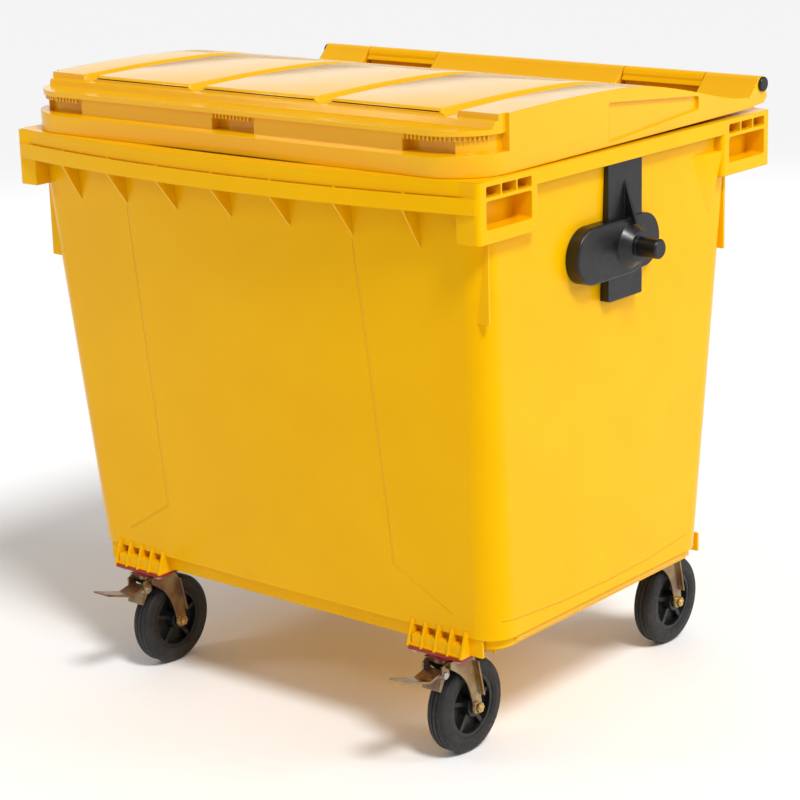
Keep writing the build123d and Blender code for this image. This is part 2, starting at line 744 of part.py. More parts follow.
# Hinge pins, fast in the brackets, with a cap on each outer end.
with BuildPart() as hinge_pin:
    with BuildSketch(Plane.YZ.offset(hinge_pin_inner)):
        with Locations((hinge_y, hinge_z)):
            Circle(hinge_pin_radius)
    extrude(amount=lid_half + 1 - hinge_pin_inner)
save(hinge_pin.part, "hinge_pin_right")
save(mirror(hinge_pin.part, about=Plane.YZ), "hinge_pin_left")

with BuildPart() as pin_cap:
    with BuildSketch(Plane.YZ.offset(lid_half + 1)):
        with Locations((hinge_y, hinge_z)):
            Circle(cap_radius)
    extrude(amount=cap_thickness)
    fillet(pin_cap.faces().sort_by(Axis.X)[-1].edges(), 3)
save(pin_cap.part, "pin_cap_right")
save(mirror(pin_cap.part, about=Plane.YZ), "pin_cap_left")

# ---------------------------------------------------------------- drain
with BuildPart() as drain_plug:
    with Locations((0, drain_y, base_bottom - drain_seal - drain_flange / 2)):
        Cylinder(drain_flange_radius, drain_flange)
    with Locations((0, drain_y, base_bottom - drain_seal + 4)):
        Cylinder(drain_radius - 0.5, 8)
    with Locations((0, drain_y, base_bottom - drain_seal - drain_flange - 3)):
        Box(44, 8, 8)
    chamfer(drain_plug.faces().sort_by(Axis.Z)[-1].edges(), 1.5)
save(drain_plug.part, "drain_plug")

with BuildPart() as drain_ring:
    with Locations((0, drain_y, base_bottom - drain_seal / 2)):
        Cylinder(drain_flange_radius - 2, drain_seal)
        Cylinder(drain_radius + 1, drain_seal, mode=Mode.SUBTRACT)
save(drain_ring.part, "drain_seal")

# ---------------------------------------------------------------- caster pieces, pivot at the origin
with BuildPart() as mount_plate:
    with Locations((0, 0, plate_top - plate_thickness / 2)):
        Box(plate_length, plate_width, plate_thickness)
    fillet(mount_plate.edges().filter_by(Axis.Z), 8)
    with BuildSketch(Plane.XY.offset(plate_top - plate_thickness)):
        Circle(race_radius)
    extrude(amount=race_bottom - plate_top + plate_thickness, taper=10)
    with BuildSketch(Plane.XY.offset(race_bottom - 1)):
        Circle(kingpin_radius)
        with GridLocations(2 * plate_bolt_x, 2 * plate_bolt_y, 2, 2):
            Circle(mount_bolt_radius)
    extrude(amount=plate_top - race_bottom + 2, mode=Mode.SUBTRACT)

with BuildPart() as kingpin:
    with BuildSketch(Plane.XY.offset(crown_bottom - swivel_gap - kingpin_head)):
        Circle(kingpin_head_radius)
    extrude(amount=kingpin_head)
    with BuildSketch(Plane.XY.offset(crown_bottom - swivel_gap)):
        Circle(kingpin_radius)
    extrude(amount=plate_top - crown_bottom + swivel_gap)
    with BuildSketch(Plane.XY.offset(plate_top)):
        Circle(kingpin_head_radius)
    extrude(amount=5)
    chamfer(kingpin.faces().sort_by(Axis.Z)[-1].edges(), 1.5)

with BuildPart() as seal_ring:
    with BuildSketch(Plane.XY.offset(crown_top)):
        Circle(seal_radius)
        Circle(kingpin_radius + king_clearance + 6, mode=Mode.SUBTRACT)
    extrude(amount=race_bottom - swivel_gap - crown_top)
    fillet(seal_ring.edges().group_by(Axis.Z)[-1].sort_by(SortBy.LENGTH)[-1], 1.5)

with BuildPart() as fork:
    with BuildSketch(Plane.XY.offset(crown_bottom)):
        Circle(crown_radius)
        with Locations((0, (leg_top_front + leg_top_rear) / 2)):
            Rectangle(2 * fork_half, leg_top_rear - leg_top_front)
    extrude(amount=crown_top - crown_bottom)
    for side in (-1, 1):
        leg_start = fork_half - fork_leg if side > 0 else -fork_half
        with BuildSketch(Plane.YZ.offset(leg_start)):
            with BuildLine():
                rise = radians(24)
                Polyline((trail + leg_end_radius, wheel_radius),
                         (leg_top_rear + 12, crown_bottom - 10), (leg_top_rear, crown_top - 1),
                         (leg_top_front, crown_top - 1), (leg_top_front, crown_bottom - 6))
                Spline((leg_top_front, crown_bottom - 6), (6, crown_bottom - 42),
                       (trail - leg_end_radius * cos(rise), wheel_radius + leg_end_radius * sin(rise)),
                       tangents=[(0.8, -0.5), (0.25, -1)])
                Line((trail - leg_end_radius * cos(rise), wheel_radius + leg_end_radius * sin(rise)),
                     (trail + leg_end_radius, wheel_radius))
            make_face()
            with Locations((trail, wheel_radius)):
                Circle(leg_end_radius)
        extrude(amount=fork_leg)
    # Each leg's rear edge is folded outwards as a stiffener.
    for side in (-1, 1):
        with BuildSketch(Plane.YZ.offset(fork_half if side > 0 else -fork_half - leg_flange)):
            with BuildLine():
                Polyline((trail + leg_end_radius - 1, wheel_radius + 24), (leg_top_rear + 12, crown_bottom - 12),
                         (leg_top_rear + 8, crown_bottom - 12), (trail + leg_end_radius - 5, wheel_radius + 24),
                         close=True)
            make_face()
        extrude(amount=leg_flange)
    with BuildSketch(Plane.XY.offset(crown_bottom - 1)):
        Circle(kingpin_radius + king_clearance)
    extrude(amount=crown_top - crown_bottom + 2, mode=Mode.SUBTRACT)
    with BuildSketch(Plane.YZ.offset(-fork_half - 1)):
        with Locations((trail, wheel_radius)):
            Circle(axle_radius)
    extrude(amount=2 * fork_half + 2, mode=Mode.SUBTRACT)

# A braked fork also has two ears in front that carry the pedal's pin.
with BuildPart() as braked_fork:
    add(fork.part)
    for side in (-1, 1):
        ear_start = brake_half if side > 0 else -brake_half - ear_thickness
        with BuildSketch(Plane.YZ.offset(ear_start)):
            with BuildLine():
                Polyline((leg_top_front + 4, crown_top - 1), (leg_top_front + 6, brake_z - 4),
                         (brake_y + 2, brake_z - brake_barrel_radius), (brake_y - 2, brake_z + 2),
                         (brake_y - brake_barrel_radius, brake_z), (brake_y - brake_barrel_radius, crown_top - 6),
                         (leg_top_front - 2, crown_top - 1), close=True)
            make_face()
            with Locations((brake_y, brake_z)):
                Circle(brake_barrel_radius)
        extrude(amount=ear_thickness)
    with BuildSketch(Plane.YZ.offset(-brake_half - ear_thickness - 1)):
        with Locations((brake_y, brake_z)):
            Circle(brake_pin_radius)
    extrude(amount=2 * (brake_half + ear_thickness + 1), mode=Mode.SUBTRACT)

with BuildPart() as brake_pin:
    with BuildSketch(Plane.YZ.offset(-brake_half - ear_thickness - 2)):
        with Locations((brake_y, brake_z)):
            Circle(brake_pin_radius)
    extrude(amount=2 * (brake_half + ear_thickness + 2))
    for side in (-1, 1):
        pin_head = brake_half + ear_thickness + 0.2 if side > 0 else -brake_half - ear_thickness - 3.2
        with BuildSketch(Plane.YZ.offset(pin_head)):
            with Locations((brake_y, brake_z)):
                Circle(brake_pin_radius + 3)
        extrude(amount=3)

with BuildPart() as brake_pedal:
    with BuildSketch(Plane.YZ.offset(-brake_half + side_gap)):
        with Locations((brake_y, brake_z)):
            Circle(brake_barrel_radius)
    extrude(amount=2 * (brake_half - side_gap))
    with BuildSketch(Plane.YZ.offset(-brake_half + side_gap)):
        with BuildLine():
            bend = (brake_y - 42, brake_z - 5)
            Polyline((brake_y - 4, brake_z + 3), bend, (pedal_tip_y, pedal_tip_z - pedal_thickness),
                     (pedal_tip_y, pedal_tip_z), (bend[0] + 2, bend[1] + pedal_thickness + 1),
                     (brake_y - 4, brake_z + 8), close=True)
        make_face()
    extrude(amount=2 * (brake_half - side_gap))
    with BuildSketch(Plane.YZ.offset(-brake_half + side_gap)):
        with BuildLine():
            Polyline((brake_y - 6, brake_z), (brake_y - 16, brake_z - 30), (brake_y - 10, brake_z - 34),
                     (brake_y + 4, brake_z - 10), (brake_y + 4, brake_z), close=True)
        make_face()
    extrude(amount=2 * (brake_half - side_gap))
    with BuildSketch(Plane.YZ.offset(-brake_half)):
        with Locations((brake_y, brake_z)):
            Circle(brake_pin_radius + brake_pin_clearance)
    extrude(amount=2 * brake_half, mode=Mode.SUBTRACT)

with BuildPart() as axle_bolt:
    with BuildSketch(Plane.YZ.offset(-fork_half)):
        with Locations((trail, wheel_radius)):
            Circle(axle_radius)
    extrude(amount=2 * fork_half + axle_head + 4)
    with BuildSketch(Plane.YZ.offset(-fork_half)):
        with Locations((trail, wheel_radius)):
            RegularPolygon(axle_head_flats / 2, 6, major_radius=False)
    extrude(amount=-axle_head)
    chamfer(axle_bolt.faces().sort_by(Axis.X)[-1].edges(), 1.5)

with BuildPart() as axle_nut:
    with BuildSketch(Plane.YZ.offset(fork_half)):
        with Locations((trail, wheel_radius)):
            Circle(axle_head_flats / 2 + 2.5)
            Circle(axle_radius, mode=Mode.SUBTRACT)
    extrude(amount=1.5)
    with BuildSketch(Plane.YZ.offset(fork_half + 1.5)):
        with Locations((trail, wheel_radius)):
            RegularPolygon(axle_head_flats / 2, 6, major_radius=False)
            Circle(axle_radius, mode=Mode.SUBTRACT)
    extrude(amount=axle_head)

sleeve_half = fork_half - fork_leg
with BuildPart() as axle_sleeve:
    with BuildSketch(Plane.YZ.offset(-sleeve_half)):
        with Locations((trail, wheel_radius)):
            Circle(sleeve_radius)
            Circle(axle_radius, mode=Mode.SUBTRACT)
    extrude(amount=2 * sleeve_half)

with BuildPart() as wheel_hub:
    rim_half_width = wheel_width / 2 - 5
    with BuildSketch(Plane.YZ.offset(-hub_half)):
        with Locations((trail, wheel_radius)):
            Circle(hub_radius)
    extrude(amount=2 * hub_half)
    with BuildSketch(Plane.YZ.offset(-rim_half_width)):
        with Locations((trail, wheel_radius)):
            Circle(tyre_bore_radius)
            Circle(tyre_bore_radius - hub_rim_wall, mode=Mode.SUBTRACT)
    extrude(amount=2 * rim_half_width)
    with BuildSketch(Plane.YZ.offset(-hub_web / 2)):
        with Locations((trail, wheel_radius)):
            Circle(tyre_bore_radius - 2)
    extrude(amount=hub_web)
    for k in range(spoke_count):
        angle = k * 360 / spoke_count + 90
        middle = (hub_radius + tyre_bore_radius - hub_rim_wall) / 2
        spoke_y = trail + middle * cos(radians(angle))
        spoke_z = wheel_radius + middle * sin(radians(angle))
        with BuildSketch(Plane.YZ.offset(-rim_half_width + 3)):
            with Locations(Location((spoke_y, spoke_z), angle)):
                Rectangle(tyre_bore_radius - hub_rim_wall - hub_radius + 6, 9)
        extrude(amount=2 * (rim_half_width - 3))
    with BuildSketch(Plane.YZ.offset(-hub_half)):
        with Locations((trail, wheel_radius)):
            Circle(sleeve_radius + sleeve_clearance)
    extrude(amount=2 * hub_half, mode=Mode.SUBTRACT)

with BuildPart() as tyre:
    axle_line = Axis((0, trail, wheel_radius), (1, 0, 0))
    half = wheel_width / 2
    with BuildSketch(Plane.XY.offset(wheel_radius)):
        with BuildLine():
            low = trail + tyre_bore_radius
            high = trail + wheel_radius
            Line((-half + 4, low), (half - 4, low))
            Line((half - 4, low), (half, low + 8))
            Line((half, low + 8), (half - 1, high - 12))
            ThreePointArc((half - 1, high - 12), (half - 4.5, high - 4), (half - 12, high))
            Line((half - 12, high), (-half + 12, high))
            ThreePointArc((-half + 12, high), (-half + 4.5, high - 4), (-half + 1, high - 12))
            Line((-half + 1, high - 12), (-half, low + 8))
            Line((-half, low + 8), (-half + 4, low))
        make_face()
        with Locations((0, high)):
            with GridLocations(2 * (half - 8) / (ridge_count - 1), 1, ridge_count, 1):
                Rectangle(2.4, 2 * ridge_depth, mode=Mode.SUBTRACT)
    revolve(axis=axle_line)

# ---------------------------------------------------------------- the four casters in place
corners = {"front_left": (-caster_x, caster_front), "front_right": (caster_x, caster_front),
           "rear_left": (-caster_x, caster_rear), "rear_right": (caster_x, caster_rear)}
for corner, (x, y) in corners.items():
    braked = corner.startswith("front")
    pieces = {"mount_plate": mount_plate, "kingpin": kingpin, "seal_ring": seal_ring,
              "fork": braked_fork if braked else fork, "axle_bolt": axle_bolt, "axle_nut": axle_nut,
              "axle_sleeve": axle_sleeve, "wheel_hub": wheel_hub, "tyre": tyre}
    if braked:
        pieces["brake_pedal"] = brake_pedal
        pieces["brake_pin"] = brake_pin
    for piece_name, piece in pieces.items():
        save(piece.part.moved(Location((x, y, 0))), f"{piece_name}_{corner}")

with BuildPart() as mount_bolts:
    with BuildSketch(Plane.XY.offset(plate_top - plate_thickness)):
        with Locations(*mount_bolt_places):
            Circle(mount_bolt_radius)
    extrude(amount=plate_thickness + mount_bolt_depth - 1)
    with BuildSketch(Plane.XY.offset(plate_top - plate_thickness)):
        with Locations(*mount_bolt_places):
            RegularPolygon(8.5, 6, major_radius=False)
    extrude(amount=-5)
save(mount_bolts.part, "mount_bolts")
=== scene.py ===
"""Dresses the four-wheeled waste container and sets it in a plain studio.

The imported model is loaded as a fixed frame. Each sub-assembly is a class that gives its
pieces their finishes and adds or refines the pieces that need more shape than the frame has.
Lengths are in metres, +Z up, +Y to the rear (hinge side), +X to the right.
"""

import json
import logging
from abc import ABC, abstractmethod
from collections.abc import Callable, Iterable
from dataclasses import dataclass
from enum import Enum
from math import cos, radians, sin

import bpy
from mathutils import Matrix, Vector

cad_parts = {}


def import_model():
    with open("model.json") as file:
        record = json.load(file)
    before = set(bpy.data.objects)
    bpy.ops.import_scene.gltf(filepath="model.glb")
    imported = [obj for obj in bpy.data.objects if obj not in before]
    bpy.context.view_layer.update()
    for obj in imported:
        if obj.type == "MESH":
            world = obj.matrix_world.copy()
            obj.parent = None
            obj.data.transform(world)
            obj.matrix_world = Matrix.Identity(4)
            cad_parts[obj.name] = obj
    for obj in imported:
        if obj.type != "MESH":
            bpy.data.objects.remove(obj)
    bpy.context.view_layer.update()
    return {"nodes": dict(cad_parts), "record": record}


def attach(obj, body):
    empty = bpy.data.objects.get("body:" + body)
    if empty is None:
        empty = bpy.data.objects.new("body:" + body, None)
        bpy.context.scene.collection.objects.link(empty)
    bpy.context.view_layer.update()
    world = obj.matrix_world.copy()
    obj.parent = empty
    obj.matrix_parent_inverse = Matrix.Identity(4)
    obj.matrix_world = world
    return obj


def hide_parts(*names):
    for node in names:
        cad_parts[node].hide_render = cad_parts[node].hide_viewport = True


log = logging.getLogger("container")

Colour = tuple[float, float, float]
Point = tuple[float, float, float]


class Corner(Enum):
    """The four casters, by their place."""

    FRONT_LEFT = "front_left"
    FRONT_RIGHT = "front_right"
    REAR_LEFT = "rear_left"
    REAR_RIGHT = "rear_right"

    @property
    def braked(self) -> bool:
        """Whether this caster has a brake."""
        return self.value.startswith("front")


class Side(Enum):
    """The container's two sides, with the sign of their X."""

    LEFT = -1
    RIGHT = 1

    @property
    def word(self) -> str:
        """The side's name as the nodes spell it."""
        return self.name.lower()


# ---------------------------------------------------------------- node trees
class Graph:
    """A node tree with short ways to add nodes and wire them."""

    def __init__(self, tree: bpy.types.NodeTree) -> None:
        """Wraps a node tree."""
        self.tree = tree

    def feed(self, socket: bpy.types.NodeSocket, value: object) -> None:
        """Links a socket to an input, or sets the input's own value.

        Args:
            socket: The input.
            value: A socket to link, or a number, colour or vector.
        """
        if isinstance(value, bpy.types.NodeSocket):
            self.tree.links.new(value, socket)
        elif socket.type == "RGBA" and len(value) == 3:
            socket.default_value = (*value, 1.0)
        else:
            socket.default_value = value

    def node(self, kind: str, settings: dict[str, object] | None = None, **values: object) -> bpy.types.Node:
        """Adds a node.

        Args:
            kind: The node's type, without its ShaderNode prefix.
            settings: The node's own settings.
            **values: Inputs by name, with underscores for spaces.

        Returns:
            The new node.
        """
        made = self.tree.nodes.new(f"ShaderNode{kind}")
        for name, value in (settings or {}).items():
            setattr(made, name, value)
        for name, value in values.items():
            self.feed(made.inputs[name.replace("_", " ")], value)
        return made

    def maths(self, operation: str, *values: object) -> bpy.types.NodeSocket:
        """Adds a maths node on up to three values and returns its result."""
        made = self.node("Math", {"operation": operation})
        for socket, value in zip(made.inputs, values):
            self.feed(socket, value)
        return made.outputs[0]

    def ramp(self, value: object, low: float, high: float, start: float = 0.0,
             end: float = 1.0) -> bpy.types.NodeSocket:
        """Maps low..high to start..end smoothly and holds it at both ends."""
        made = self.node("MapRange", {"interpolation_type": "SMOOTHSTEP"}, Value=value, From_Min=low, From_Max=high,
                         To_Min=start, To_Max=end)
        return made.outputs["Result"]

    def blend(self, factor: object, first: object, second: object) -> bpy.types.NodeSocket:
        """Mixes two colours and returns the mixed one."""
        made = self.node("Mix", {"data_type": "RGBA"})
        for socket, value in zip((made.inputs[0], made.inputs[6], made.inputs[7]), (factor, first, second)):
            self.feed(socket, value)
        return made.outputs[2]

    def noise(self, vector: object, scale: object, detail: float = 3.0, roughness: float = 0.5) -> bpy.types.NodeSocket:
        """Adds a noise texture and returns its value."""
        return self.node("TexNoise", Vector=vector, Scale=scale, Detail=detail, Roughness=roughness).outputs["Fac"]

    def place(self) -> bpy.types.NodeSocket:
        """Returns the Object coordinates, which are the frame's own."""
        return self.node("TexCoord").outputs["Object"]


class Effect:
    """A shared surface effect: a node group with named inputs and outputs."""

    def __init__(self, name: str, inputs: dict[str, object], outputs: Iterable[str]) -> None:
        """Makes the empty group.

        Args:
            name: The group's name.
            inputs: Input names with their default values; a tuple makes a vector socket.
            outputs: Names of the value outputs.
        """
        self.tree = bpy.data.node_groups.new(name, "ShaderNodeTree")
        for key, value in inputs.items():
            kind = "NodeSocketVector" if isinstance(value, tuple) else "NodeSocketFloat"
            socket = self.tree.interface.new_socket(key, in_out="INPUT", socket_type=kind)
            socket.default_value = value
        for key in outputs:
            self.tree.interface.new_socket(key, in_out="OUTPUT", socket_type="NodeSocketFloat")
        self.graph = Graph(self.tree)
        self.inputs = self.tree.nodes.new("NodeGroupInput").outputs
        self.outputs = self.tree.nodes.new("NodeGroupOutput").inputs

    def use(self, graph: Graph, **values: object) -> bpy.types.Node:
        """Places the effect in a material.

        Args:
            graph: The material's graph.
            **values: Inputs by name, with underscores for spaces.

        Returns:
            The group node.
        """
        made = graph.tree.nodes.new("ShaderNodeGroup")
        made.node_tree = self.tree
        for name, value in values.items():
            graph.feed(made.inputs[name.replace("_", " ")], value)
        return made


class Effects:
    """The surface effects that several finishes share."""

    def __init__(self) -> None:
        """Builds every effect once."""
        self.grain = self._grain()
        self.scuffs = self._scuffs()
        self.dust = self._dust()
        self.line = self._line()

    @staticmethod
    def _grain() -> Effect:
        """Fine moulding grain over a slow flow waviness."""
        made = Effect("moulding_grain", {"Vector": (0.0, 0.0, 0.0), "Grain Scale": 900.0, "Flow Scale": 5.0},
                      ("Height", "Shade", "Gloss"))
        graph = made.graph
        fine = graph.noise(made.inputs["Vector"], made.inputs["Grain Scale"], 2.0)
        flow = graph.noise(made.inputs["Vector"], made.inputs["Flow Scale"], 2.0)
        patch = graph.noise(made.inputs["Vector"], graph.maths("MULTIPLY", made.inputs["Flow Scale"], 4.0), 4.0, 0.6)
        graph.feed(made.outputs["Height"], graph.maths("MULTIPLY_ADD", fine, 0.06, graph.maths("MULTIPLY", flow, 0.9)))
        graph.feed(made.outputs["Shade"], graph.ramp(flow, 0.3, 0.7))
        graph.feed(made.outputs["Gloss"], graph.ramp(patch, 0.35, 0.7))
        return made

    @staticmethod
    def _scuffs() -> Effect:
        """Sparse short scratches and rubbed spots from handling."""
        made = Effect("handling_scuffs", {"Vector": (0.0, 0.0, 0.0), "Scale": 30.0, "Amount": 0.5}, ("Mask",))
        graph = made.graph
        stretched = graph.node("Mapping", Vector=made.inputs["Vector"], Rotation=(0.3, 0.7, 0.4),
                               Scale=(1.0, 9.0, 1.6)).outputs[0]
        streak = graph.ramp(graph.noise(stretched, made.inputs["Scale"], 5.0, 0.65), 0.66, 0.74)
        where = graph.ramp(graph.noise(made.inputs["Vector"], 4.5, 2.0), 0.46, 0.66)
        graph.feed(made.outputs["Mask"], graph.maths("MULTIPLY", graph.maths("MULTIPLY", streak, where),
                                                     made.inputs["Amount"]))
        return made

    @staticmethod
    def _dust() -> Effect:
        """Dust that thins out from one height to another."""
        made = Effect("street_dust", {"Vector": (0.0, 0.0, 0.0), "Dusty Below": 0.0, "Clean Above": 0.4,
                                      "Amount": 0.5}, ("Mask",))
        graph = made.graph
        height = graph.node("SeparateXYZ", Vector=made.inputs["Vector"]).outputs["Z"]
        fade = graph.node("MapRange", {"interpolation_type": "SMOOTHSTEP"}, Value=height,
                          From_Min=made.inputs["Dusty Below"], From_Max=made.inputs["Clean Above"], To_Min=1.0,
                          To_Max=0.0).outputs["Result"]
        cloud = graph.ramp(graph.noise(made.inputs["Vector"], 22.0, 6.0, 0.65), 0.35, 0.75)
        graph.feed(made.outputs["Mask"], graph.maths("MULTIPLY", graph.maths("MULTIPLY", fade, cloud),
                                                     made.inputs["Amount"]))
        return made

    @staticmethod
    def _line() -> Effect:
        """A soft line between two points of a plane, for creases and grooves."""
        made = Effect("moulded_line", {"Across": 0.0, "Up": 0.0, "From Across": 0.0, "From Up": 0.0, "To Across": 0.0,
                                       "To Up": 1.0, "Width": 0.004}, ("Mask",))
        graph = made.graph
        given = made.inputs
        run = graph.maths("SUBTRACT", given["To Across"], given["From Across"])
        rise = graph.maths("SUBTRACT", given["To Up"], given["From Up"])
        across = graph.maths("SUBTRACT", given["Across"], given["From Across"])
        up = graph.maths("SUBTRACT", given["Up"], given["From Up"])
        square = graph.maths("MULTIPLY_ADD", run, run, graph.maths("MULTIPLY", rise, rise))
        dot = graph.maths("MULTIPLY_ADD", across, run, graph.maths("MULTIPLY", up, rise))
        share = graph.maths("MINIMUM", graph.maths("MAXIMUM", graph.maths("DIVIDE", dot, square), 0.0), 1.0)
        off_across = graph.maths("SUBTRACT", across, graph.maths("MULTIPLY", share, run))
        off_up = graph.maths("SUBTRACT", up, graph.maths("MULTIPLY", share, rise))
        away = graph.maths("SQRT", graph.maths("MULTIPLY_ADD", off_across, off_across,
                                               graph.maths("MULTIPLY", off_up, off_up)))
        near = graph.node("MapRange", {"interpolation_type": "SMOOTHSTEP"}, Value=away, From_Min=0.0,
                          From_Max=given["Width"], To_Min=1.0, To_Max=0.0).outputs["Result"]
        graph.feed(made.outputs["Mask"], near)
        return made


# ---------------------------------------------------------------- finishes
@dataclass(frozen=True)
class Finish(ABC):
    """A surface finish that becomes one material."""

    name: str
    edge: float = 0.0015

    def build(self, effects: Effects) -> bpy.types.Material:
        """Makes the material.

        Args:
            effects: The shared effects.

        Returns:
            The finished material.
        """
        material = bpy.data.materials.new(self.name)
        material.use_nodes = True
        material.node_tree.nodes.clear()
        graph = Graph(material.node_tree)
        surface = graph.node("BsdfPrincipled")
        graph.node("OutputMaterial", Surface=surface.outputs[0])
        self.shade(graph, surface, graph.place(), effects)
        return material

    @abstractmethod
    def shade(self, graph: Graph, surface: bpy.types.Node, place: bpy.types.NodeSocket, effects: Effects) -> None:
        """Wires the colour, gloss and relief into the surface shader."""

    def rounded(self, graph: Graph) -> bpy.types.NodeSocket:
        """Returns a normal that reads every sharp edge as slightly rounded."""
        return graph.node("Bevel", {"samples": 6}, Radius=self.edge).outputs[0]


@dataclass(frozen=True)
class MouldedPlastic(Finish):
    """Glossy moulded polyethylene with flow marks, scuffs and dust."""

    colour: Colour = (0.9, 0.47, 0.0006)
    deep: Colour = (0.88, 0.45, 0.0004)
    rubbed: Colour = (0.92, 0.55, 0.03)
    dusty: Colour = (0.6, 0.33, 0.02)
    sheen_tint: Colour = (1.0, 0.72, 0.12)
    roughness: float = 0.22
    gloss_swing: float = 0.05
    specular: float = 0.22
    dust_top: float = 0.45
    dust_amount: float = 0.1

    def shade(self, graph: Graph, surface: bpy.types.Node, place: bpy.types.NodeSocket, effects: Effects) -> None:
        """Wires the colour, gloss and relief into the surface shader."""
        grain = effects.grain.use(graph, Vector=place)
        scuff = effects.scuffs.use(graph, Vector=place, Amount=0.15).outputs["Mask"]
        dust = effects.dust.use(graph, Vector=place, Dusty_Below=0.2, Clean_Above=self.dust_top,
                                Amount=self.dust_amount).outputs["Mask"]
        colour = graph.blend(grain.outputs["Shade"], self.deep, self.colour)
        colour = graph.blend(scuff, colour, self.rubbed)
        # Painted shade: creases and grooves are darkened towards the deep tone.
        colour = graph.blend(self.groove_shade(graph, place, effects), colour, self.deep)
        graph.feed(surface.inputs["Base Color"], graph.blend(dust, colour, self.dusty))
        gloss = graph.maths("MULTIPLY_ADD", grain.outputs["Gloss"], self.gloss_swing, self.roughness)
        gloss = graph.maths("MULTIPLY_ADD", scuff, 0.2, gloss)
        graph.feed(surface.inputs["Roughness"], graph.maths("MULTIPLY_ADD", dust, 0.3, gloss))
        surface.inputs["Specular IOR Level"].default_value = self.specular
        surface.inputs["Specular Tint"].default_value = (*self.sheen_tint, 1.0)
        fine = graph.node("Bump", Strength=0.5, Distance=0.0006, Height=grain.outputs["Height"],
                          Normal=self.rounded(graph))
        graph.feed(surface.inputs["Normal"], self.relief(graph, place, effects, fine.outputs[0]))

    def groove_shade(self, graph: Graph, place: bpy.types.NodeSocket, effects: Effects) -> object:
        """Returns how much painted shade darkens the colour in a groove; plain mouldings have none."""
        return 0.0

    def relief(self, graph: Graph, place: bpy.types.NodeSocket, effects: Effects,
               normal: bpy.types.NodeSocket) -> bpy.types.NodeSocket:
        """Returns the normal with the moulding's own relief; plain mouldings have none."""
        return normal


@dataclass(frozen=True)
class ShellPlastic(MouldedPlastic):
    """The tub's plastic, with the creases of its front wall and the grooves of its sides, cut as relief and darkened
    with painted shade.
    """

    front_before: float = -0.2
    flank_beyond: float = 0.535
    # Strength of the painted shade in the creases and grooves.
    groove_darkening: float = 0.35
    front_crease: tuple[tuple[float, float], ...] = ((0.304, 1.075), (0.315, 0.405), (0.449, 0.325))
    side_groove: tuple[tuple[float, float], ...] = ((-0.347, 0.319), (-0.17, 0.306), (0.0, 0.302), (0.15, 0.306),
                                                    (0.297, 0.319))
    line_width: float = 0.0035
    line_depth: float = 0.0016

    def lines(self, graph: Graph, place: bpy.types.NodeSocket, effects: Effects) -> bpy.types.NodeSocket:
        """Returns the mask of every crease and groove."""
        axes = graph.node("SeparateXYZ", Vector=place).outputs
        width = graph.maths("ABSOLUTE", axes["X"])
        front = graph.maths("LESS_THAN", axes["Y"], self.front_before)
        flank = graph.maths("GREATER_THAN", width, self.flank_beyond)
        total: object = 0.0
        for across, gate, path in ((width, front, self.front_crease), (axes["Y"], flank, self.side_groove)):
            mask: object = 0.0
            for start, end in zip(path, path[1:]):
                one = effects.line.use(graph, Across=across, Up=axes["Z"], From_Across=start[0], From_Up=start[1],
                                       To_Across=end[0], To_Up=end[1], Width=self.line_width).outputs["Mask"]
                mask = graph.maths("MAXIMUM", mask, one)
            total = graph.maths("MAXIMUM", total, graph.maths("MULTIPLY", mask, gate))
        return total

    def groove_shade(self, graph: Graph, place: bpy.types.NodeSocket, effects: Effects) -> object:
        """Returns how much painted shade darkens the colour in the creases and grooves."""
        return graph.maths("MULTIPLY", self.lines(graph, place, effects), self.groove_darkening)

    def relief(self, graph: Graph, place: bpy.types.NodeSocket, effects: Effects,
               normal: bpy.types.NodeSocket) -> bpy.types.NodeSocket:
        """Returns the normal with the creases and grooves cut into it."""
        cut = graph.node("Bump", {"invert": True}, Strength=1.0, Distance=self.line_depth,
                         Height=self.lines(graph, place, effects), Normal=normal)
        return cut.outputs[0]


@dataclass(frozen=True)
class SatinBlack(Finish):
    """Satin black moulding with a fine stipple and pale rubbed spots."""

    colour: Colour = (0.0035, 0.0035, 0.004)
    worn: Colour = (0.03, 0.03, 0.029)
    roughness: float = 0.3
    grain_scale: float = 1400.0
    dust_amount: float = 0.1

    def shade(self, graph: Graph, surface: bpy.types.Node, place: bpy.types.NodeSocket, effects: Effects) -> None:
        """Wires the colour, gloss and relief into the surface shader."""
        grain = effects.grain.use(graph, Vector=place, Grain_Scale=self.grain_scale, Flow_Scale=14.0)
        scuff = effects.scuffs.use(graph, Vector=place, Scale=45.0, Amount=0.8).outputs["Mask"]
        dust = effects.dust.use(graph, Vector=place, Dusty_Below=0.0, Clean_Above=1.3,
                                Amount=self.dust_amount).outputs["Mask"]
        colour = graph.blend(scuff, self.colour, self.worn)
        graph.feed(surface.inputs["Base Color"], graph.blend(dust, colour, self.worn))
        gloss = graph.maths("MULTIPLY_ADD", grain.outputs["Gloss"], 0.14, self.roughness)
        graph.feed(surface.inputs["Roughness"], graph.maths("MULTIPLY_ADD", dust, 0.2, gloss))
        stipple = graph.node("Bump", Strength=0.6, Distance=0.0012, Height=grain.outputs["Height"],
                             Normal=self.rounded(graph))
        graph.feed(surface.inputs["Normal"], stipple.outputs[0])


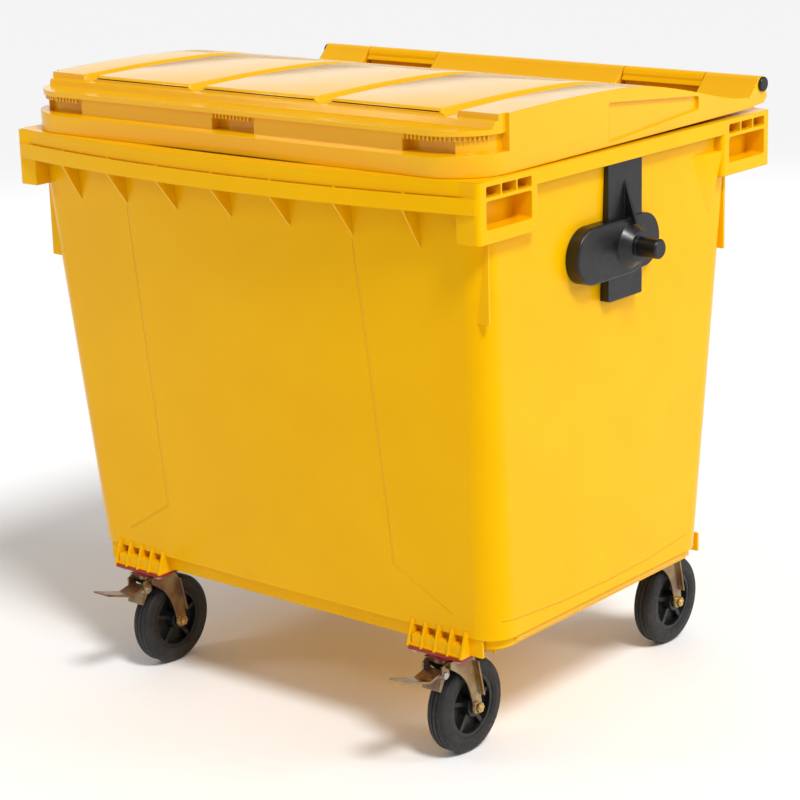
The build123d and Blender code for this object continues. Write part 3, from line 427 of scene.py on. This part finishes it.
@dataclass(frozen=True)
class PlatedSteel(Finish):
    """Zinc-plated pressed steel, whose yellow passivation drifts between hues."""

    pale: Colour = (0.4, 0.33, 0.2)
    warm: Colour = (0.3, 0.19, 0.07)
    tinted: Colour = (0.2, 0.11, 0.1)
    dusty: Colour = (0.2, 0.17, 0.13)
    roughness: float = 0.28
    hue_scale: float = 26.0

    def shade(self, graph: Graph, surface: bpy.types.Node, place: bpy.types.NodeSocket, effects: Effects) -> None:
        """Wires the colour, gloss and relief into the surface shader."""
        grain = effects.grain.use(graph, Vector=place, Grain_Scale=2200.0, Flow_Scale=self.hue_scale)
        dust = effects.dust.use(graph, Vector=place, Dusty_Below=0.02, Clean_Above=0.3, Amount=0.3).outputs["Mask"]
        drift = graph.ramp(graph.noise(place, self.hue_scale * 0.6, 3.0, 0.6), 0.42, 0.62)
        colour = graph.blend(grain.outputs["Shade"], self.warm, self.pale)
        colour = graph.blend(graph.maths("MULTIPLY", drift, 0.7), colour, self.tinted)
        graph.feed(surface.inputs["Base Color"], graph.blend(dust, colour, self.dusty))
        surface.inputs["Metallic"].default_value = 1.0
        gloss = graph.maths("MULTIPLY_ADD", grain.outputs["Gloss"], 0.2, self.roughness)
        graph.feed(surface.inputs["Roughness"], graph.maths("MULTIPLY_ADD", dust, 0.25, gloss))
        bumps = graph.node("Bump", Strength=0.3, Distance=0.0004, Height=grain.outputs["Height"],
                           Normal=self.rounded(graph))
        graph.feed(surface.inputs["Normal"], bumps.outputs[0])


@dataclass(frozen=True)
class Painted(Finish):
    """Glossy paint with chips that show the metal under it."""

    colour: Colour = (0.3, 0.006, 0.006)
    chipped: Colour = (0.2, 0.17, 0.15)
    roughness: float = 0.3

    def shade(self, graph: Graph, surface: bpy.types.Node, place: bpy.types.NodeSocket, effects: Effects) -> None:
        """Wires the colour, gloss and relief into the surface shader."""
        grain = effects.grain.use(graph, Vector=place, Grain_Scale=1200.0, Flow_Scale=20.0)
        chips = graph.ramp(graph.noise(place, 160.0, 5.0, 0.7), 0.66, 0.68)
        graph.feed(surface.inputs["Base Color"], graph.blend(chips, self.colour, self.chipped))
        gloss = graph.maths("MULTIPLY_ADD", grain.outputs["Gloss"], 0.15, self.roughness)
        graph.feed(surface.inputs["Roughness"], graph.maths("MULTIPLY_ADD", chips, 0.3, gloss))
        bumps = graph.node("Bump", {"invert": True}, Strength=0.6, Distance=0.0003, Height=chips,
                           Normal=self.rounded(graph))
        graph.feed(surface.inputs["Normal"], bumps.outputs[0])


@dataclass(frozen=True)
class TyreRubber(Finish):
    """Matte black rubber, greyed with dust on the tread."""

    colour: Colour = (0.006, 0.006, 0.0065)
    worn: Colour = (0.035, 0.033, 0.03)
    roughness: float = 0.5
    groove_from_middle: tuple[float, ...] = ()
    groove_width: float = 0.0016
    middle: float = 0.418

    def shade(self, graph: Graph, surface: bpy.types.Node, place: bpy.types.NodeSocket, effects: Effects) -> None:
        """Wires the colour, gloss and relief into the surface shader."""
        grain = effects.grain.use(graph, Vector=place, Grain_Scale=1600.0, Flow_Scale=30.0)
        dust = effects.dust.use(graph, Vector=place, Dusty_Below=0.03, Clean_Above=0.24, Amount=0.7).outputs["Mask"]
        graph.feed(surface.inputs["Base Color"], graph.blend(dust, self.colour, self.worn))
        gloss = graph.maths("MULTIPLY_ADD", grain.outputs["Gloss"], 0.2, self.roughness)
        graph.feed(surface.inputs["Roughness"], graph.maths("MULTIPLY_ADD", dust, 0.2, gloss))
        bumps = graph.node("Bump", Strength=0.8, Distance=0.0012, Height=grain.outputs["Height"],
                           Normal=self.rounded(graph))
        grooves = graph.node("Bump", {"invert": True}, Strength=1.0, Distance=0.003,
                             Height=self.grooves(graph, place), Normal=bumps.outputs[0])
        graph.feed(surface.inputs["Normal"], grooves.outputs[0])

    def grooves(self, graph: Graph, place: bpy.types.NodeSocket) -> object:
        """Returns the mask of the grooves that run round the tread."""
        across = graph.maths("ABSOLUTE", graph.node("SeparateXYZ", Vector=place).outputs["X"])
        away = graph.maths("ABSOLUTE", graph.maths("SUBTRACT", across, self.middle))
        mask: object = 0.0
        for groove in self.groove_from_middle:
            gap = graph.maths("ABSOLUTE", graph.maths("SUBTRACT", away, groove))
            mask = graph.maths("MAXIMUM", mask, graph.ramp(gap, 0.0, self.groove_width, 1.0, 0.0))
        return mask


class Palette:
    """Every finish of the container, built once and handed out by material slot."""

    def __init__(self, effects: Effects) -> None:
        """Builds the materials.

        Args:
            effects: The shared effects.
        """
        finishes: dict[str, Finish] = {
            "yellow_body": ShellPlastic("yellow_shell", edge=0.003),
            "yellow_lid": MouldedPlastic("yellow_lid", edge=0.003, roughness=0.12, specular=0.5, dust_amount=0.0,
                                         sheen_tint=(1.0, 0.92, 0.62)),
            "black_trunnion": SatinBlack("black_trunnion", edge=0.0025),
            "black_plug": SatinBlack("black_plug"),
            "black_rubber": TyreRubber("black_seal"),
            "steel_pin": PlatedSteel("drawn_steel", pale=(0.5, 0.5, 0.5), warm=(0.42, 0.42, 0.43),
                                     tinted=(0.3, 0.3, 0.31)),
            "zinc_fastener": PlatedSteel("zinc_bolts", pale=(0.6, 0.6, 0.57), warm=(0.5, 0.49, 0.44),
                                         tinted=(0.34, 0.33, 0.34)),
            "gold_fastener": PlatedSteel("gold_zinc_bolts", pale=(0.7, 0.52, 0.2), warm=(0.6, 0.4, 0.12),
                                         tinted=(0.44, 0.26, 0.12)),
            "yellow_zinc": PlatedSteel("yellow_zinc_sheet"),
            "red_seal": Painted("red_seal", roughness=0.4),
            "red_plate": Painted("red_plate"),
            "black_hub": SatinBlack("black_hub", roughness=0.35, dust_amount=0.4),
            "black_tyre": TyreRubber("black_tyre", edge=0.002, groove_from_middle=(0.004, 0.0115)),
        }
        self.materials = {slot: finish.build(effects) for slot, finish in finishes.items()}

    def dress(self, piece: bpy.types.Object, slot: str) -> None:
        """Gives a piece the finish of a slot."""
        piece.data.materials.clear()
        piece.data.materials.append(self.materials[slot])


# ---------------------------------------------------------------- shaping
class Bench:
    """Where pieces are shaped with Blender's own tools, one at a time."""

    join_within: float = 0.00002
    flat_within: float = 0.8

    @staticmethod
    def clear() -> None:
        """Leaves edit mode and deselects everything."""
        if bpy.context.object and bpy.context.object.mode != "OBJECT":
            bpy.ops.object.mode_set(mode="OBJECT")
        bpy.ops.object.select_all(action="DESELECT")

    @classmethod
    def copy(cls, node: bpy.types.Object, name: str) -> bpy.types.Object:
        """Copies a node of the frame as a new piece of joined faces.

        Args:
            node: The frame's node, which is left alone.
            name: The new piece's name.

        Returns:
            The new piece, selected and active.
        """
        cls.clear()
        piece = bpy.data.objects.new(name, node.data.copy())
        bpy.context.scene.collection.objects.link(piece)
        piece.select_set(True)
        bpy.context.view_layer.objects.active = piece
        bpy.ops.object.mode_set(mode="EDIT")
        bpy.ops.mesh.select_all(action="SELECT")
        bpy.ops.mesh.remove_doubles(threshold=cls.join_within)
        bpy.ops.mesh.customdata_custom_splitnormals_clear()
        bpy.ops.mesh.dissolve_limited(angle_limit=radians(cls.flat_within))
        bpy.ops.object.mode_set(mode="OBJECT")
        return piece

    @staticmethod
    def round_edges(piece: bpy.types.Object, wanted: Callable[[Vector, Vector], bool], width: float,
                    segments: int = 3, sharpest: float = 30.0) -> int:
        """Rounds the sharp edges that a test picks.

        Args:
            piece: The active piece.
            wanted: Says from an edge's two ends whether it is rounded.
            width: The rounding's width.
            segments: How many facets it has.
            sharpest: Edges that turn less than this many degrees are left.

        Returns:
            How many edges were rounded.
        """
        bpy.ops.object.mode_set(mode="EDIT")
        bpy.ops.mesh.select_all(action="DESELECT")
        bpy.ops.mesh.select_mode(type="EDGE")
        bpy.ops.mesh.edges_select_sharp(sharpness=radians(sharpest))
        bpy.ops.object.mode_set(mode="OBJECT")
        mesh = piece.data
        chosen = [edge for edge in mesh.edges
                  if edge.select and wanted(*(mesh.vertices[index].co for index in edge.vertices))]
        for part in (mesh.vertices, mesh.edges, mesh.polygons):
            part.foreach_set("select", [False] * len(part))
        for edge in chosen:
            edge.select = True
            for index in edge.vertices:
                mesh.vertices[index].select = True
        bpy.ops.object.mode_set(mode="EDIT")
        bpy.ops.mesh.bevel(offset=width, segments=segments, profile=0.5, affect="EDGES", clamp_overlap=False)
        bpy.ops.object.mode_set(mode="OBJECT")
        return len(chosen)

    @staticmethod
    def move_corners(piece: bpy.types.Object, places: list[Vector]) -> None:
        """Moves each corner of the active piece to its place, in the corners' own order."""
        for index, place in enumerate(places):
            bpy.ops.object.mode_set(mode="EDIT")
            bpy.ops.mesh.select_all(action="DESELECT")
            bpy.ops.object.mode_set(mode="OBJECT")
            corner = piece.data.vertices[index]
            corner.select = True
            shift = place - corner.co
            bpy.ops.object.mode_set(mode="EDIT")
            bpy.ops.mesh.select_mode(type="VERT")
            bpy.ops.transform.translate(value=shift)
            bpy.ops.object.mode_set(mode="OBJECT")

    @staticmethod
    def smooth(piece: bpy.types.Object, angle: float = 32.0) -> None:
        """Triangulates the piece and shades it smooth up to an angle."""
        bpy.ops.object.mode_set(mode="EDIT")
        bpy.ops.mesh.select_all(action="SELECT")
        bpy.ops.mesh.quads_convert_to_tris()
        bpy.ops.object.mode_set(mode="OBJECT")
        bpy.ops.object.shade_smooth_by_angle(angle=radians(angle))


# ---------------------------------------------------------------- sub-assemblies
@dataclass
class SubAssembly(ABC):
    """A group of pieces that is dressed together."""

    nodes: dict[str, bpy.types.Object]
    palette: Palette
    slots: dict[str, str]

    @abstractmethod
    def names(self) -> list[str]:
        """Returns the names of the frame's nodes that belong to it."""

    def build(self) -> None:
        """Dresses the frame's own nodes, then makes the refined pieces."""
        for name in self.names():
            self.palette.dress(self.nodes[name], self.slots[name])
            log.info("%s: finish %s", name, self.slots[name])
        self.refine()

    def refine(self) -> None:
        """Makes the pieces that need more shape than the frame has; by default there are none."""

    def hand_over(self, piece: bpy.types.Object, node: str, body: str) -> None:
        """Dresses a refined piece and lets it stand for a node of the frame."""
        self.palette.dress(piece, self.slots[node])
        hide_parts(node)
        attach(piece, body)
        log.info("%s: stands for %s, %d faces", piece.name, node, len(piece.data.polygons))


@dataclass
class Tub(SubAssembly):
    """The tub with its rim, the drain in its floor, and the gussets under its rear pockets."""

    gusset_wall: float = 0.588
    gusset_out: float = 0.6135
    gusset_top: float = 1.150
    gusset_tip: float = 1.008
    gusset_front: float = 0.222
    gusset_ridge: float = 0.352
    gusset_rear: float = 0.384
    gusset_tip_y: float = 0.330
    gusset_round: float = 0.003

    def names(self) -> list[str]:
        """Returns the tub's nodes."""
        return ["body_shell", "drain_plug", "drain_seal", "mount_bolts"]

    def refine(self) -> None:
        """Adds the faceted gusset under each rear pocket."""
        for side in Side:
            gusset = self.gusset(side)
            self.palette.dress(gusset, "yellow_body")
            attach(gusset, "container")
            log.info("%s: added under the rear pocket", gusset.name)

    def gusset(self, side: Side) -> bpy.types.Object:
        """Shapes one gusset from a three-sided cone that points down.

        Args:
            side: The container's side that it stands on.

        Returns:
            The gusset.
        """
        wall, out = side.value * self.gusset_wall, side.value * self.gusset_out
        corners = [Vector((wall, self.gusset_front, self.gusset_top)),
                   Vector((out, self.gusset_ridge, self.gusset_top)),
                   Vector((wall, self.gusset_rear, self.gusset_top)),
                   Vector((wall, self.gusset_tip_y, self.gusset_tip))]
        Bench.clear()
        bpy.ops.mesh.primitive_cone_add(vertices=3, radius1=0.05, radius2=0.0, depth=0.1, location=(0.0, 0.0, 0.0))
        piece = bpy.context.object
        piece.name = f"pocket_gusset_{side.word}"
        Bench.move_corners(piece, corners)
        bpy.ops.object.mode_set(mode="EDIT")
        bpy.ops.mesh.select_all(action="SELECT")
        bpy.ops.mesh.bevel(offset=self.gusset_round, segments=2, affect="EDGES")
        bpy.ops.mesh.select_all(action="SELECT")
        bpy.ops.mesh.normals_make_consistent(inside=False)
        bpy.ops.object.mode_set(mode="OBJECT")
        Bench.smooth(piece)
        return piece


@dataclass
class Lid(SubAssembly):
    """The lid with its hinge pins and their caps."""

    pad_round: float = 0.007
    pad_side: float = 0.575
    pad_rear: float = 0.43
    pad_level: float = 1.306
    pad_fall: float = 0.17
    pad_lowest: float = 1.25

    def names(self) -> list[str]:
        """Returns the lid's nodes."""
        return ["lid"] + [f"{kind}_{side.word}" for kind in ("hinge_pin", "pin_cap") for side in Side]

    def refine(self) -> None:
        """Rounds the lid's raised pads like pillows."""
        cover = Bench.copy(self.nodes["lid"], "lid_cover")
        pads = Bench.round_edges(cover, self.on_pads, self.pad_round, 4)
        Bench.smooth(cover)
        log.info("lid_cover: %d pad edges rounded", pads)
        self.hand_over(cover, "lid", "lid")

    def on_pads(self, start: Vector, end: Vector) -> bool:
        """Whether an edge lies on top of the raised pads."""
        inside = max(abs(start.x), abs(end.x)) < self.pad_side and max(start.y, end.y) < self.pad_rear
        return inside and min(start.z, end.z) > max(self.pad_floor(start.y), self.pad_lowest)

    def pad_floor(self, y: float) -> float:
        """Returns the height that parts the pads' tops from the channels at a depth."""
        return self.pad_level - self.pad_fall * max(y, 0.0)


@dataclass
class Trunnion(SubAssembly):
    """One lifting trunnion and its bolts."""

    side: Side = Side.RIGHT

    def names(self) -> list[str]:
        """Returns the trunnion's nodes."""
        return [f"trunnion_{self.side.word}", f"trunnion_bolts_{self.side.word}"]


@dataclass
class Caster(SubAssembly):
    """One swivel caster, with its brake where it has one."""

    corner: Corner = Corner.FRONT_RIGHT

    def names(self) -> list[str]:
        """Returns the caster's nodes."""
        kinds = ["mount_plate", "kingpin", "seal_ring", "fork", "axle_bolt", "axle_nut", "axle_sleeve", "wheel_hub",
                 "tyre"]
        if self.corner.braked:
            kinds += ["brake_pedal", "brake_pin"]
        return [f"{kind}_{self.corner.value}" for kind in kinds]


# ---------------------------------------------------------------- studio
@dataclass(frozen=True)
class SoftLight:
    """A softbox: an area light that faces a point."""

    name: str
    place: Point
    aim: Point
    size: tuple[float, float]
    power: float
    colour: Colour = (1.0, 1.0, 1.0)

    def hang(self) -> None:
        """Adds the light."""
        data = bpy.data.lights.new(self.name, "AREA")
        data.shape = "RECTANGLE"
        data.size, data.size_y = self.size
        data.energy = self.power
        data.color = self.colour
        light = bpy.data.objects.new(self.name, data)
        light.location = self.place
        light.rotation_euler = (Vector(self.aim) - Vector(self.place)).to_track_quat("-Z", "Y").to_euler()
        bpy.context.scene.collection.objects.link(light)


@dataclass
class Studio:
    """A pale floor, soft light and the camera."""

    camera_place: Point = (3.13755, -3.73384, 1.96939)
    turn: float = 39.86
    tilt: float = 15.67
    roll: float = -1.57
    lens: float = 104.87
    floor_half: float = 40.0
    sky_seen: float = 1.0
    sky_lit: float = 0.42
    sun_turn: Point = (0.66, 0.0, 1.2)
    sun_strength: float = 2.2
    sun_spread: float = 14.0
    lights: tuple[SoftLight, ...] = (
        SoftLight("sky", (-3.4, 4.4, 3.0), (0.0, 0.0, 1.2), (5.0, 3.0), 32.0),
        SoftLight("flank", (3.6, 1.4, 2.6), (0.4, 0.0, 0.8), (1.2, 1.2), 38.0),
        SoftLight("edge", (-3.0, -3.6, 3.4), (0.0, -0.2, 0.9), (0.9, 0.9), 26.0),
    )

    def build(self) -> None:
        """Sets up the whole studio."""
        bpy.context.scene.view_settings.view_transform = "Standard"
        self.floor()
        self.world()
        self.sun()
        for light in self.lights:
            light.hang()
        self.camera()

    def floor(self) -> None:
        """Lays the pale floor."""
        bpy.ops.object.select_all(action="DESELECT")
        bpy.ops.mesh.primitive_plane_add(size=2 * self.floor_half, location=(0.0, 0.0, 0.0))
        floor = bpy.context.object
        floor.name = "studio_floor"
        material = bpy.data.materials.new("pale_floor")
        material.use_nodes = True
        shader = material.node_tree.nodes["Principled BSDF"]
        shader.inputs["Base Color"].default_value = (0.93, 0.93, 0.93, 1.0)
        shader.inputs["Roughness"].default_value = 0.9
        shader.inputs["Specular IOR Level"].default_value = 0.0
        floor.data.materials.append(material)

    def sun(self) -> None:
        """Adds the even light that keeps the floor pale and throws the soft shadow."""
        data = bpy.data.lights.new("sun", "SUN")
        data.energy = self.sun_strength
        data.angle = radians(self.sun_spread)
        light = bpy.data.objects.new("sun", data)
        light.rotation_euler = self.sun_turn
        bpy.context.scene.collection.objects.link(light)

    def world(self) -> None:
        """Fills the room with soft white light that the camera sees as plain white."""
        world = bpy.data.worlds.new("studio_light")
        bpy.context.scene.world = world
        world.use_nodes = True
        graph = Graph(world.node_tree)
        back = world.node_tree.nodes["Background"]
        back.inputs["Color"].default_value = (1.0, 1.0, 1.0, 1.0)
        seen = graph.node("LightPath").outputs["Is Camera Ray"]
        graph.feed(back.inputs["Strength"], graph.maths("MULTIPLY_ADD", seen, self.sky_seen - self.sky_lit,
                                                        self.sky_lit))

    def camera(self) -> None:
        """Sets the camera."""
        data = bpy.data.cameras.new("camera")
        data.lens = self.lens
        data.sensor_width = 36.0
        data.clip_end = 200.0
        camera = bpy.data.objects.new("camera", data)
        bpy.context.scene.collection.objects.link(camera)
        turn, tilt, roll = radians(self.turn), radians(self.tilt), radians(self.roll)
        ahead = Vector((-sin(turn) * cos(tilt), cos(turn) * cos(tilt), -sin(tilt)))
        across = Vector((cos(turn), sin(turn), 0.0))
        above = across.cross(ahead)
        right = across * cos(roll) + above * sin(roll)
        up = above * cos(roll) - across * sin(roll)
        camera.matrix_world = Matrix.Translation(self.camera_place) @ Matrix((right, up, -ahead)).transposed().to_4x4()
        bpy.context.scene.camera = camera


def main() -> None:
    """Builds every sub-assembly in order, then the studio."""
    logging.basicConfig(level=logging.INFO, format="%(name)s %(message)s")
    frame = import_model()
    slots = {part["node"]: part["material_slot"] for part in frame["record"]["subparts"]}
    palette = Palette(Effects())
    given = (frame["nodes"], palette, slots)
    assemblies: list[SubAssembly] = [Tub(*given), Lid(*given)]
    assemblies += [Trunnion(*given, side=side) for side in Side]
    assemblies += [Caster(*given, corner=corner) for corner in Corner]
    for assembly in assemblies:
        assembly.build()
    Studio().build()
    bpy.context.view_layer.update()


if __name__ == "__main__":
    main()
